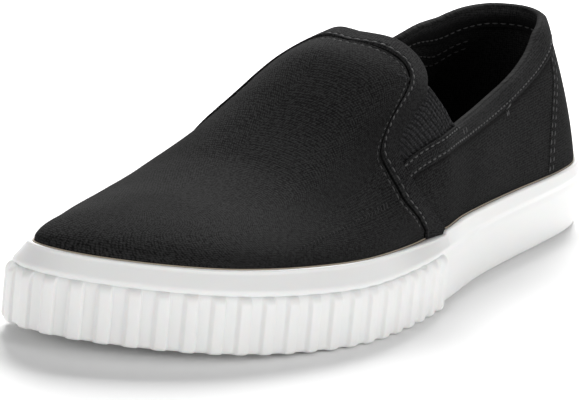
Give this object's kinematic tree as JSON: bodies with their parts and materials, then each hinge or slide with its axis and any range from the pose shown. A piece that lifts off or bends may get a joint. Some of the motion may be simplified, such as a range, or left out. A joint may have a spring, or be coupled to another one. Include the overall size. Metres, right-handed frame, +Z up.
{
  "type": "slip-on sneaker",
  "caption": "Left slip-on canvas sneaker: hollow low upper with elastic side gores, a taped throat and collar, on a moulded rubber cup sole with a ribbed toe band.",
  "frame": {"origin": "under the middle of the shoe's bounding box, on the floor it stands on", "axes": "-Y points at the toe, +X at the outer (lateral) side of the left foot, +Z up"},
  "size_m": [0.096, 0.2698, 0.0697],
  "materials": {
    "rubber_white": "satin",
    "canvas_charcoal": "matte",
    "tape_charcoal": "matte",
    "elastic_black": "matte",
    "sock_cloth": "matte"
  },
  "bodies": {
    "root": {"sole": "rubber_white", "ribbed_band": "rubber_white", "insole": "sock_cloth", "upper": "canvas_charcoal", "gore_lateral": "elastic_black", "gore_medial": "elastic_black", "throat_facing": "tape_charcoal", "quarter_strap": "tape_charcoal", "heel_counter": "canvas_charcoal"}
  },
  "joints": []
}
